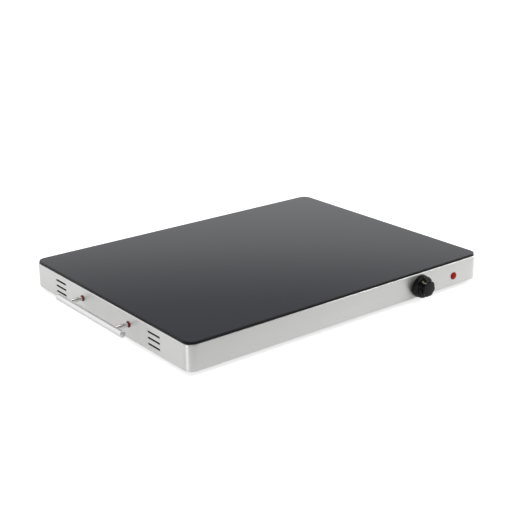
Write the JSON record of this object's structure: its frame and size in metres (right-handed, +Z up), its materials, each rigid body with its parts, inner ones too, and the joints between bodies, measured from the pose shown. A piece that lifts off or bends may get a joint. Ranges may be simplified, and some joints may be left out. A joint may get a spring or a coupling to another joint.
{
  "type": "electric food warming tray",
  "caption": "Flat electric warming tray: black glass top on a brushed steel band, bar handle on posts at each end, turning thermostat knob, red lamp, mains inlet and rubber feet.",
  "frame": {"origin": "middle of the outline, on the surface that the feet stand on", "axes": "+X along the tray from handle to handle, with the knob and lamp near +X; -Y is the front face with the knob; +Z up"},
  "size_m": [0.6644, 0.4736, 0.0523],
  "materials": {
    "black_glass": "polished, printed black underneath",
    "silicone_bead": "matt black silicone",
    "brushed_steel": "brushed along the band",
    "polished_steel": "polished",
    "zinc_steel": "zinc plated",
    "black_paint": "matt black powder coat",
    "aluminium_sheet": "mill finish",
    "glass_fibre": "pressed glass fibre mat",
    "silicone_wire": "silicone insulated wire",
    "foot_rubber": "matt moulded rubber",
    "red_silicone": "matt red heat-resisting silicone",
    "black_bakelite": "gloss moulded thermoset",
    "red_lens": "clear red moulding",
    "white_ceramic": "unglazed ceramic",
    "brass": "plain brass",
    "silver_contact": "silver",
    "black_nylon": "moulded nylon",
    "brown_lead": "insulated lead",
    "blue_lead": "insulated lead",
    "green_lead": "insulated lead",
    "pale_sleeving": "insulating sleeving"
  },
  "bodies": {
    "tray": {"side_band": "brushed_steel", "glass_top": "black_glass", "glass_seal": "silicone_bead", "heat_spreader": "aluminium_sheet", "heating_wire": "silicone_wire", "insulation_mat": "glass_fibre", "press_bars": "zinc_steel", "press_bar_screws": "zinc_steel", "bottom_cover": "black_paint", "cover_screws": "zinc_steel", "feet": "foot_rubber", "foot_screws": "zinc_steel", "foot_nuts": "zinc_steel", "handle_bar_left": "brushed_steel", "handle_bar_right": "brushed_steel", "handle_posts": "polished_steel", "red_washers": "red_silicone", "handle_screws": "zinc_steel", "handle_inner_washers": "zinc_steel", "thermostat_frame": "zinc_steel", "bush_nut": "zinc_steel", "thermostat_block": "white_ceramic", "block_rivet": "brass", "contact_blades": "brass", "contact_points": "silver_contact", "bimetal_strip": "brushed_steel", "push_pin": "white_ceramic", "lamp_lens": "red_lens", "lamp_body": "white_ceramic", "lamp_clip": "zinc_steel", "thermal_fuse": "white_ceramic", "fuse_clip": "zinc_steel", "inlet_housing": "black_nylon", "inlet_pins": "brass", "inlet_screws": "zinc_steel", "inlet_nuts": "zinc_steel", "earth_screw": "brass", "earth_nut": "brass", "live_lead": "brown_lead", "fuse_lead": "brown_lead", "heater_lead": "pale_sleeving", "neutral_lead": "blue_lead", "earth_lead": "green_lead", "lamp_leads": "pale_sleeving", "tab_sleeves": "pale_sleeving"},
    "control": {"knob": "black_bakelite", "knob_clip": "zinc_steel", "thermostat_shaft": "zinc_steel"}
  },
  "joints": [
    {"name": "knob_turn", "type": "hinge", "parent": "tray", "child": "control", "pos_m": [0.16, -0.21625, 0.0258], "axis": [0, 1, 0], "range_deg": [0, 270]}
  ]
}
